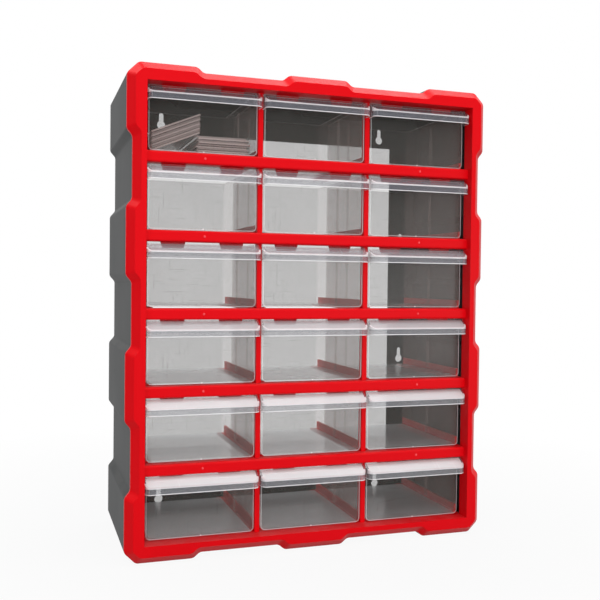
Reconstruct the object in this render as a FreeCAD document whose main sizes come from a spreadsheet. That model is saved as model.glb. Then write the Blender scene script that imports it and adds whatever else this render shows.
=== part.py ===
"""Parts bin cabinet with eighteen clear drawers.

A red front frame with a bevelled, castellated border plugs into a dark case of the same outline.
The frame carries the rails, the mullions, the stop tabs and the runners that the drawers slide on.
Each drawer is a thin tub under a sloping hood, and eighteen divider plates lie in the top left one.

Every sub-part is drawn in a frame whose y is the depth behind the face that it is measured from,
and is then placed in the cabinet's frame: x to the right, y to the back, z up, with the origin
under the middle of the cabinet. All lengths are in millimetres.
"""

import FreeCAD, Part
import os
import Sketcher

ROWS = 6
SIDES = ("left", "middle", "right")
COLUMNS = len(SIDES)
STACK = ROWS * COLUMNS // 2

SIZES = {
    # The cabinet as a whole
    "cabinet_width": 380,
    "cabinet_height": 475,
    "cabinet_depth": 160,
    # Castellated outline shared by the frame and the case
    "corner_cut": 11,
    "notch_depth": 5.5,
    "notch_run": 6.5,
    "top_lug_width": 61,
    "corner_lug_width": 66.5,
    "corner_lug_height": 63,
    "side_lug_height": 65,
    "side_lug_spacing": 139,
    # Border of the front frame
    "border_width": 18,
    "bevel_width": 7.5,
    "bevel_depth": 9,
    "skirt_depth": 3,
    "window_depth": 16,
    "window_wall": 2,
    "channel_floor": 6,
    "tongue_wall": 2,
    "tongue_clearance": 0.3,
    # Rails and mullions
    "rail_height": 11,
    "rail_setback": 8.5,
    "rail_depth": 16,
    "rail_wall": 2.5,
    "rail_top_round": 2.4,
    "rail_bottom_round": 2,
    "mullion_width": 5,
    "mullion_depth": 8,
    # Runners
    "runner_rise": 0.7,
    "ledge_width": 8,
    "ledge_thickness": 2.2,
    "web_height": 8,
    "web_thickness": 2.6,
    "runner_end_gap": 0.3,
    # Stop tabs
    "tab_offset": 29,
    "tab_top_width": 25,
    "tab_bottom_width": 20,
    "tab_height": 6,
    "tab_thickness": 2,
    "tab_gap": 0.5,
    # Case
    "case_gap": 0.3,
    "case_wall": 2.5,
    "back_wall": 2.5,
    "back_window_side": 41,
    "back_window_end": 39.5,
    "keyhole_radius": 4.75,
    "keyslot_width": 5.4,
    "keyhole_reach": 13.5,
    "corner_keyhole_inset": 56,
    "corner_keyhole_top": 30,
    "corner_keyhole_bottom": 21,
    "side_keyhole_inset": 25.5,
    "side_keyhole_spacing": 142,
    "side_keyhole_middle": 247,
    # Drawers
    "drawer_setback": 16,
    "drawer_length": 133,
    "drawer_wall": 1.5,
    "drawer_lift": 0.3,
    "drawer_headroom": 0.8,
    "column_gap": 1.2,
    "side_gap": 3.2,
    "drawer_back_round": 5,
    "drawer_bottom_round": 4.5,
    "slot_depth": 68,
    "slot_gap": 2.2,
    "slot_rib_width": 1.2,
    "slot_rib_height": 1.5,
    # Hooded handle
    "hood_overlap": 2.35,
    "hood_reach": 14,
    "hood_drop": 9,
    "hood_lip": 6.6,
    "hood_wall": 1.3,
    "hood_round": 6,
    "hood_clearance": 0.3,
    "gusset_leg": 7,
    "gusset_thickness": 1.2,
    # Divider plates and how they are stacked
    "plate_thickness": 1.7,
    "plate_corner": 2,
    "plate_clearance": 0.3,
    "stack_margin": 2,
    "stack_stagger": 3,
    # How far a cutting shape runs past what it cuts
    "overrun": 5,
}

LAYOUT = {
    "half_width": "Sizes.cabinet_width / 2",
    "half_height": "Sizes.cabinet_height / 2",
    "corner_share": "sqrt(2) - 1",
    "flat_share": "2 - sqrt(2)",
    "slope_share": "Sizes.notch_depth / (sqrt(Sizes.notch_run ^ 2 + Sizes.notch_depth ^ 2)"
                   " + Sizes.notch_run)",
    "window_half_width": "half_width - Sizes.border_width",
    "window_half_height": "half_height - Sizes.border_width",
    "opening_height": f"(2 * window_half_height - {ROWS - 1} * Sizes.rail_height) / {ROWS}",
    "row_pitch": "opening_height + Sizes.rail_height",
    "drawer_width": f"(2 * window_half_width - 2 * Sizes.side_gap"
                    f" - {2 * COLUMNS - 2} * Sizes.column_gap"
                    f" - {COLUMNS - 1} * Sizes.mullion_width) / {COLUMNS}",
    "column_pitch": "drawer_width + 2 * Sizes.column_gap + Sizes.mullion_width",
    "skirt_back": "Sizes.bevel_depth + Sizes.skirt_depth",
    "rail_back": "Sizes.rail_setback + Sizes.rail_depth",
    "tongue_inset": "Sizes.notch_depth + Sizes.case_wall + Sizes.tongue_clearance",
    "tongue_half_width": "half_width - tongue_inset",
    "tongue_half_height": "half_height - tongue_inset",
    "case_front": "skirt_back + Sizes.case_gap",
    "case_floor": "Sizes.cabinet_depth - Sizes.back_wall",
    "runner_back": "case_floor - Sizes.runner_end_gap",
    "drawer_height": "opening_height - Sizes.runner_rise - Sizes.drawer_lift"
                     " - Sizes.drawer_headroom",
    "drawer_base": "Sizes.border_width + Sizes.runner_rise + Sizes.drawer_lift",
    "slot_rib_top": "drawer_height - Sizes.tab_height - Sizes.drawer_wall",
    "hood_width": "drawer_width + 2 * Sizes.hood_overlap",
    "hood_skin": "Sizes.hood_wall * sqrt(Sizes.hood_reach ^ 2 + Sizes.hood_drop ^ 2)"
                 " / Sizes.hood_reach",
    "hood_slope": "Sizes.hood_drop / Sizes.hood_reach",
    "drawer_inside": "drawer_width - 2 * Sizes.drawer_wall",
    "plate_length": "drawer_inside - 2 * Sizes.plate_clearance",
    "plate_height": "slot_rib_top - Sizes.drawer_wall - 2 * Sizes.plate_clearance",
    "plate_pitch": "Sizes.plate_thickness + Sizes.plate_clearance",
    "stack_lead": "(Sizes.drawer_length - 2 * Sizes.drawer_wall - plate_length"
                  " - Sizes.stack_stagger) / 2",
    "lean_run": "drawer_inside - Sizes.stack_margin - plate_height - Sizes.stack_stagger"
                " - Sizes.slot_rib_height - Sizes.plate_clearance - Sizes.plate_thickness",
    "lean_angle": f"atan({STACK} * plate_pitch / lean_run)",
}

STAGGER_SHARES = (0.1, 0.55, 0.3, 0.85, 0.45, 0.0, 0.7, 0.25, 1.0)

doc = FreeCAD.newDocument("PartsBinCabinet")


def fill_sheet(name, cells):
    """Puts each value beside its name and gives the cell that name as its alias."""
    sheet = doc.addObject("Spreadsheet::Sheet", name)
    for row, (alias, value) in enumerate(cells.items(), start=1):
        sheet.set(f"A{row}", alias)
        sheet.set(f"B{row}", str(value))
        sheet.setAlias(f"B{row}", alias)
    doc.recompute()
    return sheet


sizes = fill_sheet("Sizes", SIZES)
layout = fill_sheet("Layout", {name: f"={formula}" for name, formula in LAYOUT.items()})


def number(expression):
    """The present value of an expression, as a plain number."""
    found = layout.evalExpression(str(expression))
    return float(getattr(found, "Value", found))


def new_body(name):
    body = doc.addObject("PartDesign::Body", name)
    body.Label = name
    return body


def new_sketch(body, name, role, offset="0"):
    """A sketch on one of the body's own origin planes, moved along that plane's normal."""
    sketch = body.newObject("Sketcher::SketchObject", name)
    plane = next(item for item in body.Origin.OriginFeatures if item.Role == role)
    sketch.AttachmentSupport = [(plane, "")]
    sketch.MapMode = "FlatFace"
    sketch.setExpression("AttachmentOffset.Base.z", offset)
    return sketch


def bind(sketch, constraints):
    """Adds constraints, each bound to its expression where it has one."""
    first = sketch.ConstraintCount
    sketch.addConstraint([constraint for constraint, _ in constraints])
    for index, (_, expression) in enumerate(constraints, start=first):
        if expression is not None:
            sketch.setExpression(f"Constraints[{index}]", expression)


def pin_point(geometry, point, x, y):
    """Holds one point of a sketch at x, y from the sketch's origin."""
    return [(Sketcher.Constraint("DistanceX", -1, 1, geometry, point, number(x)), x),
            (Sketcher.Constraint("DistanceY", -1, 1, geometry, point, number(y)), y)]


def draw_outline(sketch, steps):
    """A closed outline. A step is x, y for a straight run to that point, or x, y and the centre
    of the arc that ends there."""
    spots = [FreeCAD.Vector(number(step[0]), number(step[1]), 0) for step in steps]
    base = sketch.GeometryCount
    ends = []
    constraints = []
    for index, step in enumerate(steps):
        start, end = spots[index - 1], spots[index]
        if len(step) == 2:
            sketch.addGeometry(Part.LineSegment(start, end), False)
            ends.append((1, 2))
            continue
        centre = FreeCAD.Vector(number(step[2]), number(step[3]), 0)
        turns_left = (start - centre).cross(end - centre).z > 0
        first, last = (start, end) if turns_left else (end, start)
        circle = Part.Circle(centre, FreeCAD.Vector(0, 0, 1), (start - centre).Length)
        sketch.addGeometry(Part.ArcOfCircle(circle, circle.parameter(first), circle.parameter(last)),
                           False)
        ends.append((1, 2) if turns_left else (2, 1))
        flat = abs(end.x - start.x) > abs(end.y - start.y)
        held = pin_point(base + index, 3, step[2], step[3])
        constraints.append(held[1] if flat else held[0])
    for index, step in enumerate(steps):
        after = (index + 1) % len(steps)
        constraints.append((Sketcher.Constraint("Coincident", base + index, ends[index][1],
                                                base + after, ends[after][0]), None))
        constraints += pin_point(base + index, ends[index][1], step[0], step[1])
    bind(sketch, constraints)


def draw_rectangle(sketch, left, right, low, high):
    draw_outline(sketch, [(left, low), (right, low), (right, high), (left, high)])


def extrude(kind, sketch, name, length, reverse=False):
    """A pad or pocket of a sketch, of a length given as an expression."""
    body = sketch.getParentGeoFeatureGroup()
    feature = body.newObject(f"PartDesign::{kind}", name)
    feature.Profile = sketch
    feature.setExpression("Length", length)
    feature.Reversed = reverse
    return feature


def pad_back(sketch, name, length):
    """A pad towards the back, from a sketch on an XZ plane."""
    return extrude("Pad", sketch, name, length, reverse=True)


def pocket_back(sketch, name, length):
    """A pocket towards the back, from a sketch on an XZ plane."""
    return extrude("Pocket", sketch, name, length)


def repeat(body, name, originals, axis, pitch, count):
    """A linear pattern along one of the body's own axes."""
    pattern = body.newObject("PartDesign::LinearPattern", name)
    pattern.Originals = originals
    line = next(item for item in body.Origin.OriginFeatures if item.Role == axis)
    pattern.Direction = (line, [""])
    pattern.Mode = "Spacing"
    pattern.setExpression("Offset", pitch)
    pattern.Occurrences = count
    body.Tip = pattern
    return pattern


def lugged_outline(inset):
    """The castellated outline, drawn in by inset all round, as steps of an outline."""
    foot = f"({inset}) * Layout.slope_share"
    nip = f"Sizes.corner_cut + ({inset}) * Layout.corner_share"
    side = f"Layout.half_width - ({inset})"
    top = f"Layout.half_height - ({inset})"
    lug = f"Sizes.top_lug_width / 2 - {foot}"
    corner = f"Layout.half_width - Sizes.corner_lug_width + {foot}"
    upper = f"Layout.half_height - Sizes.corner_lug_height + {foot}"
    middle = "Sizes.side_lug_spacing / 2"
    reach = f"Sizes.side_lug_height / 2 - {foot}"
    run = "Sizes.notch_run"
    dip = "Sizes.notch_depth"
    quarter = [
        (lug, top),
        (f"{lug} + {run}", f"{top} - {dip}"),
        (f"{corner} - {run}", f"{top} - {dip}"),
        (corner, top),
        (f"Layout.half_width - ({nip})", top),
        (side, f"Layout.half_height - ({nip})"),
        (side, upper),
        (f"{side} - {dip}", f"{upper} - {run}"),
        (f"{side} - {dip}", f"{middle} + {reach} + {run}"),
        (side, f"{middle} + {reach}"),
        (side, f"{middle} - ({reach})"),
        (f"{side} - {dip}", f"{middle} - ({reach}) - {run}"),
    ]
    right = quarter + [(x, f"-({z})") for x, z in reversed(quarter)]
    left = [(f"-({x})", z) for x, z in reversed(right)]
    return [(x, f"Layout.half_height + ({z})") for x, z in right + left]


def make_front_frame():
    body = new_body("front_frame")
    middle = "Layout.half_height"

    face = new_sketch(body, "face_outline", "XZ_Plane")
    draw_outline(face, lugged_outline("Sizes.bevel_width"))
    brow = new_sketch(body, "bevel_outline", "XZ_Plane", "-Sizes.bevel_depth")
    draw_outline(brow, lugged_outline("0"))
    bevel = body.newObject("PartDesign::AdditiveLoft", "bevel")
    bevel.Profile = face
    bevel.Sections = [brow]
    bevel.Ruled = True

    skirt = new_sketch(body, "skirt_outline", "XZ_Plane", "-Sizes.bevel_depth")
    draw_outline(skirt, lugged_outline("0"))
    pad_back(skirt, "skirt", "Sizes.skirt_depth")

    tongue = new_sketch(body, "tongue_outline", "XZ_Plane", "-Sizes.bevel_depth")
    draw_rectangle(tongue, "-Layout.tongue_half_width", "Layout.tongue_half_width",
                   f"{middle} - Layout.tongue_half_height",
                   f"{middle} + Layout.tongue_half_height")
    pad_back(tongue, "tongue", "Sizes.window_depth - Sizes.bevel_depth")

    window = new_sketch(body, "window_outline", "XZ_Plane")
    draw_rectangle(window, "-Layout.window_half_width", "Layout.window_half_width",
                   f"{middle} - Layout.window_half_height",
                   f"{middle} + Layout.window_half_height")
    pocket_back(window, "window", "Sizes.window_depth")

    channel = new_sketch(body, "channel_outline", "XZ_Plane", "-Sizes.channel_floor")
    for across, up in (("Layout.window_half_width + Sizes.window_wall",
                        "Layout.window_half_height + Sizes.window_wall"),
                       ("Layout.tongue_half_width - Sizes.tongue_wall",
                        "Layout.tongue_half_height - Sizes.tongue_wall")):
        draw_rectangle(channel, f"-({across})", across, f"{middle} - ({up})", f"{middle} + {up}")
    pocket_back(channel, "channel", "Sizes.window_depth - Sizes.channel_floor")

    lips = new_sketch(body, "lip_outlines", "XZ_Plane", "-Sizes.window_depth")
    half_lip = "Layout.window_half_width + Sizes.window_wall"
    for low, high in ((f"{middle} + Layout.window_half_height",
                       f"{middle} + Layout.window_half_height + Sizes.window_wall"),
                      (f"{middle} - Layout.window_half_height - Sizes.window_wall",
                       f"{middle} - Layout.window_half_height")):
        draw_rectangle(lips, f"-({half_lip})", half_lip, low, high)
    pad_back(lips, "header_and_sill", "Layout.rail_back - Sizes.window_depth")

    add_rails(body)
    add_mullions(body)
    add_stop_tabs(body)
    body.setExpression("Placement.Base.y", "-Sizes.cabinet_depth / 2")
    return body


def add_rails(body):
    """Cross rails, open at the back, with a rounded brow and a rounded lower edge."""
    low = "Sizes.border_width + Layout.opening_height"
    high = f"{low} + Sizes.rail_height"
    front = "Sizes.rail_setback"
    back = "Layout.rail_back"
    wall = "Sizes.rail_wall"
    brow = "Sizes.rail_top_round"
    chin = "Sizes.rail_bottom_round"
    profile = new_sketch(body, "rail_profile", "YZ_Plane")
    draw_outline(profile, [
        (f"{front} + {chin}", low),
        (front, f"{low} + {chin}", f"{front} + {chin}", f"{low} + {chin}"),
        (front, f"{high} - {brow}"),
        (f"{front} + {brow}", high, f"{front} + {brow}", f"{high} - {brow}"),
        (back, high),
        (back, f"{high} - {wall}"),
        (f"{front} + {wall}", f"{high} - {wall}"),
        (f"{front} + {wall}", f"{low} + {wall}"),
        (back, f"{low} + {wall}"),
        (back, low),
    ])
    rail = extrude("Pad", profile, "rail", "2 * Layout.window_half_width + Sizes.window_wall")
    rail.Midplane = True
    repeat(body, "rails", [rail], "Z_Axis", "Layout.row_pitch", ROWS - 1)


def add_mullions(body):
    """Upright bars between the columns, set back behind the rails."""
    front = "Sizes.drawer_setback + Sizes.hood_clearance"
    bars = new_sketch(body, "mullion_outlines", "XZ_Plane", f"-({front})")
    for side in (-1, 1):
        middle = f"{side} * Layout.column_pitch / 2"
        draw_rectangle(bars, f"{middle} - Sizes.mullion_width / 2",
                       f"{middle} + Sizes.mullion_width / 2",
                       "Sizes.border_width - Sizes.window_wall",
                       "Sizes.cabinet_height - Sizes.border_width + Sizes.window_wall")
    pad_back(bars, "mullions", "Sizes.mullion_depth")


def add_stop_tabs(body):
    """Two tabs over each drawer, just behind its front wall, where its back wall comes to rest."""
    front = "Sizes.drawer_setback + Sizes.drawer_wall + Sizes.tab_gap"
    root = "Sizes.border_width + Layout.opening_height"
    tip = f"{root} - Sizes.tab_height"
    tabs = new_sketch(body, "tab_outlines", "XZ_Plane", f"-({front})")
    for side in (-1, 1):
        middle = f"{side} * Sizes.tab_offset - Layout.column_pitch"
        draw_outline(tabs, [
            (f"{middle} - Sizes.tab_bottom_width / 2", tip),
            (f"{middle} + Sizes.tab_bottom_width / 2", tip),
            (f"{middle} + Sizes.tab_top_width / 2", f"{root} + Sizes.window_wall / 2"),
            (f"{middle} - Sizes.tab_top_width / 2", f"{root} + Sizes.window_wall / 2"),
        ])
    tab = pad_back(tabs, "stop_tab", "Sizes.tab_thickness")
    across = body.newObject("PartDesign::LinearPattern", "across_columns")
    upward = body.newObject("PartDesign::LinearPattern", "up_rows")
    for pattern, axis, pitch, count in ((across, "X_Axis", "Layout.column_pitch", COLUMNS),
                                        (upward, "Z_Axis", "Layout.row_pitch", ROWS)):
        line = next(item for item in body.Origin.OriginFeatures if item.Role == axis)
        pattern.Direction = (line, [""])
        pattern.Mode = "Spacing"
        pattern.setExpression("Offset", pitch)
        pattern.Occurrences = count
    grid = body.newObject("PartDesign::MultiTransform", "stop_tabs")
    grid.Originals = [tab]
    grid.Transformations = [across, upward]
    body.Tip = grid


def tee_outline(middle, bottom, top, crest):
    """The section of a runner between two columns: a ledge each side of an upright web."""
    web = "Sizes.web_thickness / 2"
    ledge = f"({web} + Sizes.ledge_width)"
    half = [(ledge, bottom), (ledge, top), (web, top), (web, crest)]
    return ([(f"{middle} + {x}", z) for x, z in half]
            + [(f"{middle} - {x}", z) for x, z in reversed(half)])


def ell_outline(side, bottom, top, crest):
    """The section of a runner beside the border: a ledge inside an upright web."""
    near = "1.5 * Layout.column_pitch - Sizes.mullion_width / 2"
    tip = f"{near} - Sizes.ledge_width"
    far = f"{near} + Sizes.web_thickness"
    return [(f"{side} * ({x})", z) for x, z in
            ((tip, bottom), (far, bottom), (far, crest), (near, crest), (near, top), (tip, top))]


def make_runners():
    """Four sets of runners, one runner for every row in each, from the rails to the back wall."""
    top = "Sizes.border_width + Sizes.runner_rise"
    bottom = f"{top} - Sizes.ledge_thickness"
    crest = f"{top} + Sizes.web_height"
    outlines = {
        "runners_left_wall": ell_outline(-1, bottom, top, crest),
        "runners_left_column": tee_outline("-Layout.column_pitch / 2", bottom, top, crest),
        "runners_right_column": tee_outline("Layout.column_pitch / 2", bottom, top, crest),
        "runners_right_wall": ell_outline(1, bottom, top, crest),
    }
    sets = []
    for name, outline in outlines.items():
        body = new_body(name)
        body.AllowCompound = True
        section = new_sketch(body, f"{name}_section", "XZ_Plane", "-Layout.rail_back")
        draw_outline(section, outline)
        runner = pad_back(section, f"{name}_runner", "Layout.runner_back - Layout.rail_back")
        repeat(body, f"{name}_rows", [runner], "Z_Axis", "Layout.row_pitch", ROWS)
        body.setExpression("Placement.Base.y", "-Sizes.cabinet_depth / 2")
        sets.append(body)
    return sets


def draw_keyhole(sketch, x, z):
    """A keyhole: a round hole for a screw's head, and a slot above it for the screw's neck."""
    radius = "Sizes.keyhole_radius"
    half = "Sizes.keyslot_width / 2"
    meet = f"{z} + sqrt({radius} ^ 2 - ({half}) ^ 2)"
    end = f"{z} + Sizes.keyhole_reach - {half}"
    crown = f"{z} + Sizes.keyhole_reach"
    draw_outline(sketch, [
        (f"{x} + {half}", end),
        (x, crown, x, end),
        (f"{x} - {half}", end, x, end),
        (f"{x} - {half}", meet),
        (x, f"{z} - {radius}", x, z),
        (f"{x} + {half}", meet, x, z),
    ])


def make_case():
    body = new_body("case")
    middle = "Layout.half_height"
    shell = new_sketch(body, "case_outline", "XZ_Plane", "-Layout.case_front")
    draw_outline(shell, lugged_outline("0"))
    pad_back(shell, "case_block", "Sizes.cabinet_depth - Layout.case_front")
    bore = new_sketch(body, "case_bore_outline", "XZ_Plane", "-Layout.case_front")
    draw_outline(bore, lugged_outline("Sizes.case_wall"))
    pocket_back(bore, "case_bore", "Layout.case_floor - Layout.case_front")

    window = new_sketch(body, "back_window_outline", "XZ_Plane", "-Layout.case_floor")
    across = "Layout.half_width - Sizes.back_window_side"
    draw_rectangle(window, f"-({across})", across, "Sizes.back_window_end",
                   "Sizes.cabinet_height - Sizes.back_window_end")
    pocket_back(window, "back_window", "Sizes.back_wall")

    holes = new_sketch(body, "keyhole_outlines", "XZ_Plane", "-Layout.case_floor")
    for side in (-1, 1):
        corner = f"{side} * (Layout.half_width - Sizes.corner_keyhole_inset)"
        draw_keyhole(holes, corner, "Sizes.cabinet_height - Sizes.corner_keyhole_top")
        draw_keyhole(holes, corner, "Sizes.corner_keyhole_bottom")
        flank = f"{side} * (Layout.half_width - Sizes.side_keyhole_inset)"
        for half in (-1, 1):
            draw_keyhole(holes, flank, f"Sizes.side_keyhole_middle + {half}"
                                       " * Sizes.side_keyhole_spacing / 2")
    pocket_back(holes, "keyholes", "Sizes.back_wall")
    body.setExpression("Placement.Base.y", "-Sizes.cabinet_depth / 2")
    return body


def round_corner(x, y, radius, to_x, to_y, upright_first):
    """Two steps round a square corner at x, y, whose arc's centre lies towards to_x, to_y."""
    inner_x = f"{x} + ({to_x}) * ({radius})"
    inner_y = f"{y} + ({to_y}) * ({radius})"
    ends = [(x, inner_y), (inner_x, y)]
    first, last = ends if upright_first else reversed(ends)
    return [first, (*last, inner_x, inner_y)]


def cut_corner(x, y, radius, to_x, to_y, upright_first):
    """Two steps across a square corner at x, y, along a flat that touches the arc of radius."""
    leg = f"({radius}) * Layout.flat_share"
    ends = [(x, f"{y} + ({to_y}) * {leg}"), (f"{x} + ({to_x}) * {leg}", y)]
    return ends if upright_first else ends[::-1]


def make_tub(name, inset, top, corner):
    """A block with its rear and lower corners taken off by corner, drawn in by inset."""
    body = new_body(name)
    side = f"Layout.drawer_width / 2 - ({inset})"
    front = f"{inset}"
    back = f"Sizes.drawer_length - ({inset})"
    tail = f"Sizes.drawer_back_round - ({inset})"
    sole = f"Sizes.drawer_bottom_round - ({inset})"
    plan = new_sketch(body, f"{name}_plan", "XY_Plane", f"{inset}")
    draw_outline(plan, [(f"-({side})", front), (side, front)]
                 + corner(side, back, tail, -1, -1, True)
                 + corner(f"-({side})", back, tail, 1, -1, False))
    extrude("Pad", plan, f"{name}_block", f"{top} - ({inset})")
    edges = new_sketch(body, f"{name}_edges", "XZ_Plane", f"-({front})")
    for sign in (-1, 1):
        wall = f"{sign} * ({side})"
        draw_outline(edges, [(wall, f"{inset}")]
                     + corner(wall, f"{inset}", sole, -sign, 1, True))
    pocket_back(edges, f"{name}_rounding", f"{back} - ({front})")
    return body


def make_hood(name, inset, base, corner):
    """A wedge under the slope of the handle, its front corners taken off by corner, drawn in by
    inset."""
    body = new_body(name)
    side = f"Layout.hood_width / 2 - ({inset})"
    nose = f"-Sizes.hood_reach + ({inset})"
    turn = f"Sizes.hood_round - ({inset})"
    plan = new_sketch(body, f"{name}_plan", "XY_Plane", base)
    draw_outline(plan, corner(f"-({side})", nose, turn, 1, 1, True)
                 + corner(side, nose, turn, -1, 1, False)
                 + [(side, "0"), (f"-({side})", "0")])
    extrude("Pad", plan, f"{name}_block", f"Layout.drawer_height - ({base})")
    crest = f"Layout.drawer_height - ({inset}) / Sizes.hood_wall * Layout.hood_skin"
    brow = f"{crest} - Layout.hood_slope * (Sizes.hood_reach - ({inset}))"
    slope = new_sketch(body, f"{name}_slope", "YZ_Plane")
    far = f"{nose} - Sizes.overrun"
    over = "Layout.drawer_height + Sizes.overrun"
    draw_outline(slope, [
        ("0", crest),
        ("0", over),
        (far, over),
        (far, brow),
        (nose, brow),
    ])
    cut = extrude("Pocket", slope, f"{name}_slope_cut", "Layout.hood_width + Sizes.overrun")
    cut.Midplane = True
    return body


def make_slot_ribs():
    """A pair of upright ribs on each side wall, which hold a divider between them."""
    body = new_body("slot_ribs")
    plan = new_sketch(body, "slot_rib_plan", "XY_Plane", "Sizes.drawer_wall / 2")
    wall = "Layout.drawer_width / 2 - Sizes.drawer_wall"
    for side in (-1, 1):
        root = f"{side} * ({wall} + Sizes.drawer_wall / 2)"
        tip = f"{side} * ({wall} - Sizes.slot_rib_height)"
        for face in (-1, 1):
            near = f"Sizes.slot_depth + {face} * Sizes.slot_gap / 2"
            far = f"{near} + {face} * Sizes.slot_rib_width"
            draw_rectangle(plan, root, tip, near, far)
    extrude("Pad", plan, "slot_rib_pad", "Layout.slot_rib_top")
    return body


def make_gussets():
    """A small triangular web under each end of the hood, square to the drawer's front."""
    body = new_body("gussets")
    high = "Layout.drawer_height - Layout.hood_skin / 2"
    leg = "Sizes.gusset_leg"
    profile = new_sketch(body, "gusset_profile", "YZ_Plane")
    draw_outline(profile, [
        ("Sizes.drawer_wall / 2", high),
        (f"-{leg}", f"{high} - Layout.hood_slope * {leg}"),
        ("Sizes.drawer_wall / 2", f"{high} - Layout.hood_slope * {leg} - {leg}"),
    ])
    web = extrude("Pad", profile, "gusset", "Sizes.gusset_thickness")
    web.Midplane = True
    spread = "Layout.drawer_width - 2 * Sizes.drawer_wall - Sizes.gusset_thickness"
    repeat(body, "gusset_pair", [web], "X_Axis", spread, 2)
    body.setExpression("Placement.Base.x", f"-({spread}) / 2")
    return body


def make_drawer_moulding():
    """The shape that every drawer shares: the hollowed tub and the hollowed hood, joined."""
    wall = "Sizes.drawer_wall"
    lip_foot = "Layout.drawer_height - Sizes.hood_drop - Sizes.hood_lip"
    tub = doc.addObject("Part::Cut", "tub_shell")
    tub.Base = make_tub("tub", "0", "Layout.drawer_height", round_corner)
    tub.Tool = make_tub("tub_hollow", wall, "Layout.drawer_height + Sizes.overrun", cut_corner)
    hood = doc.addObject("Part::Cut", "hood_shell")
    hood.Base = make_hood("hood", "0", lip_foot, round_corner)
    hood.Tool = make_hood("hood_hollow", "Sizes.hood_wall", f"{lip_foot} - Sizes.overrun",
                          cut_corner)
    moulding = doc.addObject("Part::MultiFuse", "drawer_moulding")
    moulding.Shapes = [tub, hood, make_slot_ribs(), make_gussets()]
    moulding.Refine = True
    doc.recompute()
    return moulding


def place_copy(name, original):
    """A body of its own that takes its shape from an original."""
    body = new_body(name)
    copy = doc.addObject("PartDesign::FeatureBase", f"{name}_shape")
    copy.BaseFeature = original
    body.Group = [copy]
    body.Tip = copy
    return body


def column_place(column):
    return f"{column - COLUMNS // 2} * Layout.column_pitch"


def row_place(row):
    return f"Layout.drawer_base + {ROWS - row} * Layout.row_pitch"


def make_drawers(moulding):
    """One drawer in every opening, rows counted from the top."""
    drawers = []
    for row in range(1, ROWS + 1):
        for column, side in enumerate(SIDES):
            drawer = place_copy(f"drawer_row{row}_{side}", moulding)
            drawer.setExpression("Placement.Base.x", column_place(column))
            drawer.setExpression("Placement.Base.y",
                                 "Sizes.drawer_setback - Sizes.cabinet_depth / 2")
            drawer.setExpression("Placement.Base.z", row_place(row))
            drawers.append(drawer)
    return drawers


def make_divider_plate():
    """A plain plate with clipped corners, lying flat, its origin in the middle of its left edge."""
    body = new_body("divider_plate")
    half = "Layout.plate_length / 2"
    height = "Layout.plate_height"
    turn = "Sizes.plate_corner"
    plan = new_sketch(body, "plate_plan", "XY_Plane")
    draw_outline(plan, cut_corner("0", f"-{half}", turn, 1, 1, True)
                 + cut_corner(height, f"-{half}", turn, -1, 1, False)
                 + cut_corner(height, half, turn, -1, -1, True)
                 + cut_corner("0", half, turn, 1, -1, False))
    extrude("Pad", plan, "plate", "Sizes.plate_thickness")
    doc.recompute()
    return body


def stack_dividers(plate):
    """Half of the plates lie flat in the top left drawer. The rest lean on them, their lower
    edges one above another beside the drawer's left wall."""
    dividers = []
    floor = f"{row_place(1)} + Sizes.drawer_wall + Sizes.plate_clearance"
    edge = (f"{column_place(0)} + Layout.drawer_inside / 2 - Sizes.stack_margin"
            " - Layout.plate_height")
    heel = f"{edge} - Sizes.stack_stagger - Layout.lean_run"
    front = ("Sizes.drawer_setback + Sizes.drawer_wall + Layout.stack_lead"
             " + Layout.plate_length / 2 - Sizes.cabinet_depth / 2")
    for index, share in enumerate(STAGGER_SHARES):
        slip = f"{share} * Sizes.stack_stagger"
        flat = place_copy(f"divider_{index + 1:02d}", plate)
        flat.setExpression("Placement.Base.x", f"{edge} - {slip}")
        flat.setExpression("Placement.Base.y", f"{front} + {slip}")
        flat.setExpression("Placement.Base.z", f"{floor} + {index} * Layout.plate_pitch")
        leaning = place_copy(f"divider_{STACK + index + 1:02d}", plate)
        leaning.Placement.Rotation = FreeCAD.Rotation(FreeCAD.Vector(0, -1, 0), 1)
        leaning.setExpression("Placement.Rotation.Angle", "Layout.lean_angle")
        leaning.setExpression("Placement.Base.x", heel)
        leaning.setExpression("Placement.Base.y", f"{front} + Sizes.stack_stagger - {slip}")
        leaning.setExpression("Placement.Base.z", f"{floor} + {index} * Layout.plate_pitch"
                                                  " / cos(Layout.lean_angle)")
        dividers += [flat, leaning]
    return dividers


def check_document():
    """Stops if any object failed to build, which a recompute does not report by itself."""
    for item in doc.Objects:
        faults = [state for state in item.State if state in ("Invalid", "Error")]
        if faults:
            raise RuntimeError(f"{item.Label} is {faults[0]}")


def write_parts(pieces):
    """Writes each sub-part's shape, placed in the cabinet's frame, to a file of its name."""
    os.makedirs("parts", exist_ok=True)
    for piece in pieces:
        shape = piece.Shape
        if shape.isNull() or not shape.isValid():
            raise RuntimeError(f"{piece.Label} has no valid shape")
    for piece in pieces:
        piece.Shape.exportStep(f"parts/{piece.Label}.step")


pieces = [make_front_frame(), make_case()]
pieces += make_runners()
pieces += make_drawers(make_drawer_moulding())
pieces += stack_dividers(make_divider_plate())
doc.recompute()
check_document()
write_parts(pieces)
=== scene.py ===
"""A parts bin cabinet: a red front frame on a dark case, with eighteen clear drawers."""

from math import cos, radians, sin

import bmesh
import bpy
from mathutils import Matrix, Vector


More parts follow.
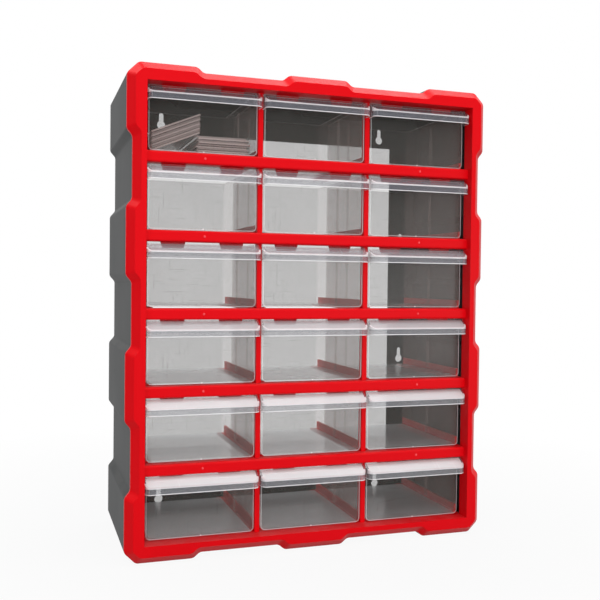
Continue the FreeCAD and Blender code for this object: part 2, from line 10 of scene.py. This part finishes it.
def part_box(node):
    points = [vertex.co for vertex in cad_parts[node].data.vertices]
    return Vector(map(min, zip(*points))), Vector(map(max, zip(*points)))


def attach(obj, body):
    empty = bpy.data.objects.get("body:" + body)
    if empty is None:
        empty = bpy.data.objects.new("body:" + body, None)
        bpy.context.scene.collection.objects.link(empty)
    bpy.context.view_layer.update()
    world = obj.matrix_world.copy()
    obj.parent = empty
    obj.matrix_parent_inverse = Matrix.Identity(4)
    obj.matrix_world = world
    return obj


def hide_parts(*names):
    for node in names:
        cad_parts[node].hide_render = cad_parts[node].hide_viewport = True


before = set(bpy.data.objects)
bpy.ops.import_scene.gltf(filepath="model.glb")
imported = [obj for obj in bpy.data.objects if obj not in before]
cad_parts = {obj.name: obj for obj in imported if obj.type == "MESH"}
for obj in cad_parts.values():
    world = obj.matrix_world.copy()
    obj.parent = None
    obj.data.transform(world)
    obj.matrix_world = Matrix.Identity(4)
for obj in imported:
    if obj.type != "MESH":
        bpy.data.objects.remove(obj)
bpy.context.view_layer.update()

MM = 0.001
ROWS = 6
SIDES = ("left", "middle", "right")
DIVIDERS = 18

# The camera, fitted to the photograph: place in millimetres, angles in radians, focal length in
# pixels of a picture 600 wide
CAMERA_PLACE = (-282.2, -855.9, 268.9)
CAMERA_YAW = 0.326
CAMERA_PITCH = 0.021
CAMERA_ROLL = 0.011
FOCAL_PIXELS = 822.8
PICTURE_PIXELS = 600
SENSOR = 36

# Rays pass the walls of several drawers, each with two faces
LAYERS_SEEN = 24

# Soft edges of the mouldings
SHARP_ANGLE = radians(24)
FRAME_EDGE = 0.6 * MM
FRAME_CORNER = 2.2 * MM
CASE_EDGE = 0.7 * MM
CASE_CORNER = 1.6 * MM
RUNNER_EDGE = 0.25 * MM
CLEAR_EDGE = 0.42 * MM
PLATE_EDGE = 0.2 * MM
WELD = 0.002 * MM
FLAT_ANGLE = radians(1)
SMOOTH_ANGLE = radians(35)

# The outline's middle, and how far out its turning corners start
MIDDLE_HEIGHT = 237.5 * MM
CORNERS_ACROSS = 175 * MM
CORNERS_UP = 222.5 * MM

# Forms of the drawer that its finishes follow. The last three are parts of a face's unit normal
# along an axis, where 1 looks straight along it
HOOD_REACH = 14 * MM
HOOD_DROP = 9 * MM
HOOD_LIP = 6.6 * MM
FRONT_WALL = 1.5 * MM
FRONT_RIM = 0.9 * MM
HOOD_BAND = 1.6 * MM
FLOOR_LEVEL = 2 * MM
SIDE_BAND = 5.6 * MM
LIP_RIM = 0.7 * MM
TOP_EDGE = 1 * MM
RIM_START = 0.5 * MM
FLUSH = 0.05 * MM
BROAD_FACE = 100 * MM * MM
SLOPED = 0.5
LEVEL = 0.9
SQUARE_ON = 0.99

# Moulding marks: gates on the rails, in millimetres, and a pip at the foot of each drawer's front
RAIL_HEIGHTS = (87.5, 162.5, 237.5, 312.5, 387.5)
RAIL_FRONT = -71.5
GATE_COLUMN = 115
GATE_RADIUS = 1.2
PIP_RADIUS = 0.8 * MM
MARK_FLATNESS = 0.5

# Finishes, as linear colours
RED = (0.72, 0.002, 0.007, 1)
RED_DEEP = (0.66, 0.002, 0.005, 1)
# Paler red of the gate marks: painted highlight
GATE_RED_PAINTED_HIGHLIGHT = (0.80, 0.05, 0.06, 1)
CASE_DARK = (0.031, 0.033, 0.034, 1)
CASE_WORN = (0.051, 0.053, 0.053, 1)
WALL_TINT = (0.10, 0.095, 0.085, 1)
# Paler tint of the drawers' side walls: painted light on walls that stand in shade
SIDE_PAINTED_LIGHT = (0.78, 0.65, 0.61, 1)
# Paler tint of the drawers' floors: painted light
FLOOR_PAINTED_LIGHT = (0.62, 0.54, 0.49, 1)
HOOD_TINT = (0.40, 0.37, 0.41, 1)
LIP_TINT = (0.27, 0.27, 0.31, 1)
# Paler tints of the lowest hoods and lips: painted reflection of the sky
HOOD_PAINTED_SHEEN = (0.90, 0.95, 0.96, 1)
LIP_PAINTED_SHEEN = (0.43, 0.44, 0.47, 1)
# Pale tint of the drawers' edges: painted highlight
RIM_PAINTED_HIGHLIGHT = (0.92, 0.90, 0.92, 1)
PLATE_TINT = (0.55, 0.45, 0.43, 1)
PLATE_RIMS = ((0.78, 0.64, 0.61, 1), (0.50, 0.40, 0.38, 1))
DUST = (0.60, 0.57, 0.53, 1)
FLOOR_GREY = (0.35, 0.35, 0.35, 1)
WHITE = (1, 1, 1, 1)
BUMP_DEPTH = 0.3 * MM

# Painted reflection: the lowest drawers are made cloudier and paler, standing in for the bright
# sky's reflection on them. This fades in from the first of these heights, in metres, to the second
PAINTED_SHEEN_TOP = 0.40
PAINTED_SHEEN_BOTTOM = 0.10

# The drawers' clear finishes. Haze is how much they hide face on, rim how much more at a glancing
# view, and painted sheen how much more in the lowest drawers, with the tint there: a painted
# reflection of the sky on them
CLEAR_FINISHES = {
    "clear_wall": dict(tint=WALL_TINT, haze=(0.16, 0.21), rim=0.2, rough=0.2, ior=1.55),
    "clear_hood": dict(tint=HOOD_TINT, haze=(0.20, 0.27), rim=0.1, rough=0.22, ior=1.8,
                       painted_sheen=(0.52, HOOD_PAINTED_SHEEN)),
    "clear_lip": dict(tint=LIP_TINT, haze=(0.20, 0.26), rim=0.1, rough=0.2, ior=1.5,
                      painted_sheen=(0.0, LIP_PAINTED_SHEEN)),
    # Pale edges of the drawers: painted highlights
    "clear_rim_painted_highlight": dict(tint=RIM_PAINTED_HIGHLIGHT, haze=(0.60, 0.72), rim=0.1, rough=0.2, ior=1.6),
    # Floors: a paler, cloudier copy of the wall finish, painted light
    "clear_floor_painted_light": dict(tint=FLOOR_PAINTED_LIGHT, haze=(0.32, 0.38), rim=0.2, rough=0.15, ior=2.3,
                        painted_sheen=(0.06, HOOD_PAINTED_SHEEN)),
    # The softer pale band round the front pane: painted highlight
    "clear_bead_painted_highlight": dict(tint=RIM_PAINTED_HIGHLIGHT, haze=(0.24, 0.36), rim=0.1, rough=0.2, ior=1.6),
    # Side walls: a paler copy of the wall finish, painted light
    "clear_side_painted_light": dict(tint=SIDE_PAINTED_LIGHT, haze=(0.13, 0.17), rim=0.08, rough=0.2, ior=1.5),
}
WALL, HOOD, LIP, PAINTED_RIM, PAINTED_LIT_FLOOR, PAINTED_BEAD, PAINTED_LIT_SIDE = range(len(CLEAR_FINISHES))


def add_node(tree, kind, sockets=None, **settings):
    """A shader node. Each socket is given a value, or another node's output to be linked from."""
    made = tree.nodes.new(kind)
    for name, value in settings.items():
        setattr(made, name, value)
    for name, value in (sockets or {}).items():
        if isinstance(value, bpy.types.NodeSocket):
            tree.links.new(value, made.inputs[name])
        else:
            made.inputs[name].default_value = value
    return made


def new_group(name, inputs, outputs):
    """A node group with float inputs of the given defaults, and its input and output nodes."""
    tree = bpy.data.node_groups.new(name, "ShaderNodeTree")
    for label, default in inputs.items():
        socket = tree.interface.new_socket(label, in_out="INPUT", socket_type="NodeSocketFloat")
        socket.default_value = default
    for label in outputs:
        tree.interface.new_socket(label, in_out="OUTPUT", socket_type="NodeSocketFloat")
    return tree, tree.nodes.new("NodeGroupInput"), tree.nodes.new("NodeGroupOutput")


def moulded_skin_group():
    """Fine grain and slow waviness of moulded plastic, as a height and a mottling mask."""
    tree, given, result = new_group("moulded_skin", {"Grain": 900, "Waves": 14, "Depth": 0.4},
                                    ("Height", "Mottle"))
    coords = add_node(tree, "ShaderNodeTexCoord").outputs["Object"]
    grain = add_node(tree, "ShaderNodeTexNoise",
                     {"Vector": coords, "Scale": given.outputs["Grain"], "Detail": 3})
    waves = add_node(tree, "ShaderNodeTexNoise",
                     {"Vector": coords, "Scale": given.outputs["Waves"], "Detail": 4,
                      "Roughness": 0.6})
    deep = add_node(tree, "ShaderNodeMath",
                    {0: grain.outputs["Fac"], 1: given.outputs["Depth"]}, operation="MULTIPLY")
    height = add_node(tree, "ShaderNodeMath", {0: deep.outputs[0], 1: waves.outputs["Fac"]},
                      operation="ADD")
    tree.links.new(height.outputs[0], result.inputs["Height"])
    tree.links.new(waves.outputs["Fac"], result.inputs["Mottle"])
    return tree


def settled_dust_group():
    """A mask of thin dust, thickest on faces that look up, broken by noise."""
    tree, given, result = new_group("settled_dust", {"Scale": 60, "Amount": 0.3}, ("Mask",))
    coords = add_node(tree, "ShaderNodeTexCoord").outputs["Object"]
    normal = add_node(tree, "ShaderNodeNewGeometry").outputs["Normal"]
    upward = add_node(tree, "ShaderNodeSeparateXYZ", {"Vector": normal}).outputs["Z"]
    facing = add_node(tree, "ShaderNodeMapRange", {"Value": upward, "From Min": 0.2,
                                                   "From Max": 1.0})
    cloud = add_node(tree, "ShaderNodeTexNoise",
                     {"Vector": coords, "Scale": given.outputs["Scale"], "Detail": 6})
    broken = add_node(tree, "ShaderNodeMapRange", {"Value": cloud.outputs["Fac"],
                                                   "From Min": 0.35, "From Max": 0.75})
    both = add_node(tree, "ShaderNodeMath", {0: facing.outputs[0], 1: broken.outputs[0]},
                    operation="MULTIPLY")
    scaled = add_node(tree, "ShaderNodeMath", {0: both.outputs[0], 1: given.outputs["Amount"]},
                      operation="MULTIPLY")
    tree.links.new(scaled.outputs[0], result.inputs["Mask"])
    return tree


def fine_scratch_group():
    """A mask of short hairline scratches, from two stretched noises that cross."""
    tree, given, result = new_group("fine_scratches", {"Scale": 30, "Amount": 0.5}, ("Mask",))
    coords = add_node(tree, "ShaderNodeTexCoord").outputs["Object"]
    lines = []
    for turn, stretch in ((0.5, (1, 1, 24)), (-0.8, (20, 1, 1))):
        mapped = add_node(tree, "ShaderNodeMapping",
                          {"Vector": coords, "Rotation": (turn, turn / 2, turn),
                           "Scale": stretch})
        noise = add_node(tree, "ShaderNodeTexNoise",
                         {"Vector": mapped.outputs[0], "Scale": given.outputs["Scale"],
                          "Detail": 2})
        lines.append(add_node(tree, "ShaderNodeMapRange",
                              {"Value": noise.outputs["Fac"], "From Min": 0.66,
                               "From Max": 0.74}).outputs[0])
    both = add_node(tree, "ShaderNodeMath", {0: lines[0], 1: lines[1]}, operation="MAXIMUM")
    scaled = add_node(tree, "ShaderNodeMath", {0: both.outputs[0], 1: given.outputs["Amount"]},
                      operation="MULTIPLY")
    tree.links.new(scaled.outputs[0], result.inputs["Mask"])
    return tree


def place_group(tree, group, **values):
    made = tree.nodes.new("ShaderNodeGroup")
    made.node_tree = group
    for name, value in values.items():
        made.inputs[name].default_value = value
    return made.outputs


def blend_colour(tree, mask, low, high):
    """One colour fading to another by a mask."""
    mixed = add_node(tree, "ShaderNodeMix", {"Factor": mask}, data_type="RGBA")
    for index, colour in ((6, low), (7, high)):
        if isinstance(colour, bpy.types.NodeSocket):
            tree.links.new(colour, mixed.inputs[index])
        else:
            mixed.inputs[index].default_value = colour
    return mixed.outputs[2]


def span(tree, mask, low, high):
    """A mask spread over a range of values."""
    return add_node(tree, "ShaderNodeMapRange",
                    {"Value": mask, "To Min": low, "To Max": high}).outputs[0]


def new_material(name):
    material = bpy.data.materials.new(name)
    material.use_nodes = True
    tree = material.node_tree
    return material, tree, tree.nodes["Principled BSDF"]


def bump(tree, shader, height, strength):
    bumped = add_node(tree, "ShaderNodeBump", {"Height": height, "Strength": strength,
                                               "Distance": BUMP_DEPTH})
    tree.links.new(bumped.outputs[0], shader.inputs["Normal"])


def red_plastic(skin, dust):
    """The frame's red moulding, with a soft gloss."""
    material, tree, shader = new_material("red_plastic")
    relief = place_group(tree, skin, Grain=1400, Waves=9, Depth=0.25)
    settled = place_group(tree, dust, Scale=45, Amount=0.05)
    colour = blend_colour(tree, relief["Mottle"], RED_DEEP, RED)
    tree.links.new(blend_colour(tree, settled["Mask"], colour, DUST), shader.inputs["Base Color"])
    tree.links.new(span(tree, relief["Mottle"], 0.34, 0.44), shader.inputs["Roughness"])
    shader.inputs["IOR"].default_value = 1.47
    shader.inputs["Specular IOR Level"].default_value = 0.08
    bump(tree, shader, relief["Height"], 0.15)
    return material


def plain_plastic(name, tint, rough):
    material, _, shader = new_material(name)
    shader.inputs["Base Color"].default_value = tint
    shader.inputs["Roughness"].default_value = rough
    return material


def case_plastic(skin, dust, scratches):
    """The case's dark grey satin moulding."""
    material, tree, shader = new_material("case_plastic")
    relief = place_group(tree, skin, Grain=1100, Waves=7, Depth=0.5)
    settled = place_group(tree, dust, Scale=30, Amount=0.10)
    rubbed = place_group(tree, scratches, Scale=26, Amount=0.25)
    colour = blend_colour(tree, relief["Mottle"], CASE_DARK, CASE_WORN)
    dusty = blend_colour(tree, settled["Mask"], colour, DUST)
    tree.links.new(blend_colour(tree, rubbed["Mask"], dusty, CASE_WORN),
                   shader.inputs["Base Color"])
    tree.links.new(span(tree, relief["Mottle"], 0.45, 0.6), shader.inputs["Roughness"])
    shader.inputs["IOR"].default_value = 1.5
    shader.inputs["Specular IOR Level"].default_value = 0.09
    bump(tree, shader, relief["Height"], 0.12)
    return material


def add_up(tree, *values):
    """The sum of masks, held between nought and one."""
    total = values[0]
    for value in values[1:]:
        total = add_node(tree, "ShaderNodeMath", {0: total, 1: value}, operation="ADD",
                         use_clamp=True).outputs[0]
    return total


def clear_plastic(name, skin, scratches, tint, haze, rim, rough, ior, painted_sheen=None):
    """Thin clear plastic. It is nearly see-through face on and cloudier at a glancing view. The
    high refraction makes up for the shine that a low alpha takes away. Painted sheen gives how
    much cloudier and paler the lowest drawers are made, and their tint: a painted reflection of
    the bright sky on them."""
    material, tree, shader = new_material(name)
    relief = place_group(tree, skin, Grain=120, Waves=16, Depth=0.05)
    rubbed = place_group(tree, scratches, Scale=34, Amount=0.08)
    glance = add_node(tree, "ShaderNodeLayerWeight", {"Blend": 0.5}).outputs["Facing"]
    sharp = add_node(tree, "ShaderNodeMath", {0: glance, 1: 3.0}, operation="POWER").outputs[0]
    edge = add_node(tree, "ShaderNodeMath", {0: sharp, 1: rim}, operation="MULTIPLY").outputs[0]
    cloud = add_up(tree, span(tree, relief["Mottle"], *haze), edge, rubbed["Mask"])
    # Painted reflection: the lower drawers become cloudier and paler by height, standing in for
    # the sky's reflection on them
    if painted_sheen:
        coords = add_node(tree, "ShaderNodeTexCoord").outputs["Object"]
        height = add_node(tree, "ShaderNodeSeparateXYZ", {"Vector": coords}).outputs["Z"]
        painted_sheen_mask = add_node(tree, "ShaderNodeMapRange",
                           {"Value": height, "From Min": PAINTED_SHEEN_TOP, "From Max": PAINTED_SHEEN_BOTTOM},
                           interpolation_type="SMOOTHSTEP").outputs[0]
        amount, painted_sheen_tint = painted_sheen
        cloud = add_up(tree, cloud, span(tree, painted_sheen_mask, 0, amount))
        tree.links.new(blend_colour(tree, painted_sheen_mask, tint, painted_sheen_tint), shader.inputs["Base Color"])
    else:
        shader.inputs["Base Color"].default_value = tint
    tree.links.new(cloud, shader.inputs["Alpha"])
    tree.links.new(span(tree, relief["Mottle"], rough, rough + 0.08), shader.inputs["Roughness"])
    shader.inputs["IOR"].default_value = ior
    bump(tree, shader, relief["Height"], 0.02)
    return material


def merged_copy(node):
    """A closed bmesh of a CAD node, with its flat faces whole again."""
    mesh = bmesh.new()
    mesh.from_mesh(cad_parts[node].data)
    bmesh.ops.remove_doubles(mesh, verts=mesh.verts, dist=WELD)
    bmesh.ops.dissolve_limit(mesh, angle_limit=FLAT_ANGLE, verts=mesh.verts, edges=mesh.edges)
    return mesh


def soften(mesh, width):
    """Rounds every sharp edge a little and returns the faces that it made."""
    sharp = [edge for edge in mesh.edges
             if edge.is_manifold and edge.calc_face_angle() > SHARP_ANGLE]
    made = bmesh.ops.bevel(mesh, geom=sharp, offset=width, segments=2, profile=0.5,
                           affect="EDGES", clamp_overlap=True, material=-1)
    return made["faces"]


def round_corners(mesh, width):
    """Rounds the outward corners where the castellated outline turns."""
    turns = []
    for edge in mesh.edges:
        if not edge.is_manifold or edge.calc_face_angle() < SHARP_ANGLE:
            continue
        along = edge.verts[1].co - edge.verts[0].co
        middle = (edge.verts[0].co + edge.verts[1].co) / 2
        out = Vector((middle.x, 0, middle.z - MIDDLE_HEIGHT))
        if abs(along.y) > 0.5 * along.length \
                and (abs(out.x) > CORNERS_ACROSS or abs(out.z) > CORNERS_UP) \
                and all(face.normal.dot(out) > 0 for face in edge.link_faces):
            turns.append(edge)
    bmesh.ops.bevel(mesh, geom=turns, offset=width, segments=3, profile=0.5,
                    affect="EDGES", clamp_overlap=True, material=-1)


def finish_piece(name, mesh, body, materials, nodes=()):
    """Makes a piece of a bmesh, shaded smooth across its soft edges, riding on a body."""
    data = bpy.data.meshes.new(name)
    mesh.to_mesh(data)
    mesh.free()
    for material in materials:
        data.materials.append(material)
    data.shade_smooth()
    data.set_sharp_from_angle(angle=SMOOTH_ANGLE)
    piece = bpy.data.objects.new(name, data)
    bpy.context.scene.collection.objects.link(piece)
    weighted = piece.modifiers.new("weighted_normals", "WEIGHTED_NORMAL")
    weighted.keep_sharp = True
    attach(piece, body)
    if nodes:
        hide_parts(*nodes)
    return piece


def dress_frame(red):
    mesh = merged_copy("front_frame")
    round_corners(mesh, FRAME_CORNER)
    soften(mesh, FRAME_EDGE)
    finish_piece("frame_moulding", mesh, "cabinet", [red], ["front_frame"])


def dress_runners(red):
    for place in ("left_wall", "left_column", "right_column", "right_wall"):
        mesh = merged_copy(f"runners_{place}")
        soften(mesh, RUNNER_EDGE)
        finish_piece(f"runner_set_{place}", mesh, "cabinet", [red],
                     [f"runners_{place}"])


def dress_case(dark):
    mesh = merged_copy("case")
    round_corners(mesh, CASE_CORNER)
    soften(mesh, CASE_EDGE)
    finish_piece("case_moulding", mesh, "cabinet", [dark], ["case"])


def paint_drawer(mesh, low, high, front, edges):
    """Gives each face of a drawer its finish, by where it lies and how it is turned."""
    for face in mesh.faces:
        centre = face.calc_center_median()
        # Pale rim and bead finishes on the edges: painted highlights
        if face in edges:
            face.material_index = PAINTED_RIM if centre.y < front - RIM_START else PAINTED_BEAD
        elif face.normal.z > LEVEL and centre.z > high.z - TOP_EDGE:
            face.material_index = PAINTED_RIM
        elif centre.y < front - FLUSH:
            face.material_index = HOOD if face.normal.z > SLOPED else LIP
        # Floors take a paler finish: painted light
        elif abs(face.normal.z) > LEVEL and centre.z < low.z + FLOOR_LEVEL:
            face.material_index = PAINTED_LIT_FLOOR
        # Side walls take a paler finish: painted light
        elif min(centre.x - low.x, high.x - centre.x) < SIDE_BAND \
                and centre.y < high.y - FRONT_WALL:
            face.material_index = PAINTED_LIT_SIDE


def frame_faces(mesh, faces, width, finish):
    """Sets a band of another finish along the edges of faces."""
    inner = set(faces)
    band = bmesh.ops.inset_individual(mesh, faces=faces, thickness=width, use_even_offset=True)
    for face in band["faces"]:
        if face not in inner:
            face.material_index = finish


def edge_lip(mesh, low, brow):
    """Cuts the lip near its upper and lower edges and makes those strips pale: painted highlight
    lines along them.
    """
    for height in (brow - HOOD_LIP + LIP_RIM, brow - LIP_RIM):
        lip = [face for face in mesh.faces if face.material_index == LIP]
        around = {item for face in lip for item in (*face.edges, *face.verts)}
        bmesh.ops.bisect_plane(mesh, geom=lip + list(around), plane_co=(0, 0, height),
                               plane_no=(0, 0, 1), dist=WELD)
    for face in mesh.faces:
        centre = face.calc_center_median()
        if face.material_index == LIP and centre.y < low.y + HOOD_REACH / 2 \
                and abs(centre.z - brow + HOOD_LIP / 2) > HOOD_LIP / 2 - LIP_RIM:
            face.material_index = PAINTED_RIM


def add_mark(mesh, place, radius, segments):
    """A small flattened ball that stands half out of a face, and its corners."""
    mark = bmesh.ops.create_uvsphere(mesh, u_segments=segments, v_segments=segments // 2,
                                     radius=radius)["verts"]
    bmesh.ops.scale(mesh, vec=(1, MARK_FLATNESS, 1), verts=mark)
    bmesh.ops.translate(mesh, vec=place, verts=mark)
    return mark


def dress_drawer(row, side, finishes):
    """A drawer: see-through walls, a cloudier hood, and pale edges: a painted highlight for the
    light that their thickness gathers.
    """
    node = f"drawer_row{row}_{side}"
    mesh = merged_copy(node)
    low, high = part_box(node)
    front = low.y + HOOD_REACH
    edges = {face for face in soften(mesh, CLEAR_EDGE)
             if face.calc_center_median().y < front + FRONT_WALL / 2}
    paint_drawer(mesh, low, high, front, edges)
    slopes = [face for face in mesh.faces if face.material_index == HOOD
              and face.calc_area() > BROAD_FACE]
    frame_faces(mesh, slopes, HOOD_BAND, LIP)
    # A pale band round the front pane: a painted highlight along its edge
    pane = [face for face in mesh.faces if face.normal.y < -SQUARE_ON
            and abs(face.calc_center_median().y - front) < FLUSH
            and face.calc_area() > BROAD_FACE]
    frame_faces(mesh, pane, FRONT_RIM, PAINTED_BEAD)
    edge_lip(mesh, low, high.z - HOOD_DROP)
    pip = add_mark(mesh, ((low.x + high.x) / 2, front, low.z + PIP_RADIUS), PIP_RADIUS, 12)
    # The pip takes the pale rim finish: a painted highlight
    for vert in pip:
        for face in vert.link_faces:
            face.material_index = PAINTED_RIM
    finish_piece(f"bin_row{row}_{side}", mesh, f"tray_row{row}_{side}",
                 finishes, [node])


def dress_divider(number, plate, rims):
    """A divider plate: clear faces and cloudy edges."""
    node = f"divider_{number:02d}"
    mesh = merged_copy(node)
    broad = max(face.calc_area() for face in mesh.faces)
    soften(mesh, PLATE_EDGE)
    for face in mesh.faces:
        if face.calc_area() < broad / 2:
            face.material_index = 1
    finish_piece(f"plate_{number:02d}", mesh, "tray_row1_left",
                 [plate, rims[number % len(rims)]], [node])


def add_gate_marks(red):
    """The small round marks that the moulding gates leave on the rails, in a paler red that is a
    painted highlight of the light they catch.
    """
    mesh = bmesh.new()
    for height in RAIL_HEIGHTS:
        for side in (-1, 1):
            place = Vector((side * GATE_COLUMN, RAIL_FRONT, height)) * MM
            add_mark(mesh, place, GATE_RADIUS * MM, 16)
    finish_piece("rail_gate_marks", mesh, "cabinet", [red])


def seen_directly(tree):
    """One for rays that show the backdrop itself: to the camera, mirrored or through glass."""
    path = add_node(tree, "ShaderNodeLightPath").outputs
    mirrored = add_node(tree, "ShaderNodeMath", {0: path["Is Camera Ray"],
                                                 1: path["Is Glossy Ray"]},
                        operation="MAXIMUM").outputs[0]
    return add_node(tree, "ShaderNodeMath", {0: mirrored, 1: path["Is Transmission Ray"]},
                    operation="MAXIMUM").outputs[0]


def add_floor():
    """A pale floor. The camera sees it fade to white away from the cabinet's soft shadow."""
    mesh = bmesh.new()
    bmesh.ops.create_grid(mesh, x_segments=1, y_segments=1, size=8)
    data = bpy.data.meshes.new("floor")
    mesh.to_mesh(data)
    mesh.free()
    floor = bpy.data.objects.new("floor", data)
    bpy.context.scene.collection.objects.link(floor)
    material, tree, shader = new_material("pale_floor")
    shader.inputs["Base Color"].default_value = FLOOR_GREY
    shader.inputs["Roughness"].default_value = 0.9
    shader.inputs["Specular IOR Level"].default_value = 0.1
    coords = add_node(tree, "ShaderNodeTexCoord").outputs["Object"]
    away = add_node(tree, "ShaderNodeVectorMath", {0: coords}, operation="LENGTH").outputs["Value"]
    fade = add_node(tree, "ShaderNodeMapRange", {"Value": away, "From Min": 0.2, "From Max": 0.7,
                                                 "To Min": 0.93, "To Max": 1.0}).outputs[0]
    seen = seen_directly(tree)
    share = add_node(tree, "ShaderNodeMath", {0: fade, 1: seen}, operation="MULTIPLY").outputs[0]
    white = add_node(tree, "ShaderNodeEmission", {"Color": WHITE, "Strength": 1.0})
    mixed = add_node(tree, "ShaderNodeMixShader", {0: share, 1: shader.outputs[0],
                                                   2: white.outputs[0]})
    tree.links.new(mixed.outputs[0], tree.nodes["Material Output"].inputs["Surface"])
    data.materials.append(material)


def add_lamp(name, place, target, size, power, mirrored=True, lights=True):
    """A panel lamp. It can be kept out of reflections, or be there for reflections alone."""
    lamp = bpy.data.lights.new(name, "AREA")
    lamp.shape = "RECTANGLE"
    lamp.size, lamp.size_y = size
    lamp.energy = power
    holder = bpy.data.objects.new(name, lamp)
    holder.location = place
    holder.visible_glossy = mirrored
    holder.visible_diffuse = lights
    holder.rotation_euler = (Vector(target) - Vector(place)).to_track_quat("-Z", "Y").to_euler()
    bpy.context.scene.collection.objects.link(holder)


def add_light():
    """A bright sky overhead, a softer front and left side, and a white room. The card on the
    right shows only as a pale reflection in the drawers' fronts."""
    add_lamp("sky_panel", place=(0.35, 0.05, 1.6), target=(0, 0, 0.3), size=(1.2, 0.9), power=15)
    add_lamp("front_panel", place=(0.3, -1.1, 1.5), target=(0, 0, 0.24), size=(1.8, 1.3),
             power=13, mirrored=False)
    add_lamp("low_panel", place=(-0.5, -1.8, 0.3), target=(0, 0, 0.12), size=(1.6, 0.9),
             power=18, mirrored=False)
    add_lamp("left_panel", place=(-0.7, 0.3, 1.2), target=(-0.1, 0, 0.4), size=(0.5, 0.5), power=5)
    add_lamp("right_card", place=(1.1, -1.9, 0.17), target=(0.115, -0.05, 0.25),
             size=(0.7, 0.5), power=5, lights=False)
    world = bpy.data.worlds.new("room")
    bpy.context.scene.world = world
    world.use_nodes = True
    tree = world.node_tree
    tree.nodes.clear()
    lit = add_node(tree, "ShaderNodeBackground", {"Color": (0.95, 0.97, 1, 1), "Strength": 0.44})
    white = add_node(tree, "ShaderNodeBackground", {"Color": WHITE, "Strength": 1.0})
    mixed = add_node(tree, "ShaderNodeMixShader", {0: seen_directly(tree), 1: lit.outputs[0],
                                                   2: white.outputs[0]})
    out = add_node(tree, "ShaderNodeOutputWorld")
    tree.links.new(mixed.outputs[0], out.inputs["Surface"])


def add_camera():
    """The camera at the photograph's place and angle."""
    ahead = Vector((sin(CAMERA_YAW), cos(CAMERA_YAW), 0))
    right = Vector((cos(CAMERA_YAW), -sin(CAMERA_YAW), 0))
    up = Vector((0, 0, 1))
    look = ahead * cos(CAMERA_PITCH) - up * sin(CAMERA_PITCH)
    level = ahead * sin(CAMERA_PITCH) + up * cos(CAMERA_PITCH)
    across = right * cos(CAMERA_ROLL) + level * sin(CAMERA_ROLL)
    upright = level * cos(CAMERA_ROLL) - right * sin(CAMERA_ROLL)
    turn = Matrix((across, upright, -look)).transposed().to_4x4()
    data = bpy.data.cameras.new("camera")
    data.sensor_width = SENSOR
    data.lens = FOCAL_PIXELS / PICTURE_PIXELS * SENSOR
    data.clip_start = 0.05
    data.clip_end = 50
    camera = bpy.data.objects.new("camera", data)
    camera.matrix_world = Matrix.Translation(Vector(CAMERA_PLACE) * MM) @ turn
    bpy.context.scene.collection.objects.link(camera)
    bpy.context.scene.camera = camera


def build():
    bpy.context.scene.view_settings.view_transform = "Standard"
    bpy.context.scene.cycles.transparent_max_bounces = LAYERS_SEEN
    skin = moulded_skin_group()
    dust = settled_dust_group()
    scratches = fine_scratch_group()
    red = red_plastic(skin, dust)
    dark = case_plastic(skin, dust, scratches)
    clear = [clear_plastic(name, skin, scratches, **finish)
             for name, finish in CLEAR_FINISHES.items()]
    plate = clear_plastic("clear_plate", skin, scratches, PLATE_TINT, haze=(0.16, 0.24), rim=0.3,
                          rough=0.2, ior=1.7)
    rims = [clear_plastic(f"plate_rim_{index}", skin, scratches, tint, haze=(0.8, 0.9), rim=0.1,
                          rough=0.3, ior=1.5)
            for index, tint in enumerate(PLATE_RIMS, start=1)]
    dress_frame(red)
    dress_runners(red)
    # The gate marks' paler red is a painted highlight
    add_gate_marks(plain_plastic("gate_red_painted_highlight", GATE_RED_PAINTED_HIGHLIGHT, 0.3))
    dress_case(dark)
    for row in range(1, ROWS + 1):
        for side in SIDES:
            dress_drawer(row, side, clear)
    for number in range(1, DIVIDERS + 1):
        dress_divider(number, plate, rims)
    add_floor()
    add_light()
    add_camera()


build()
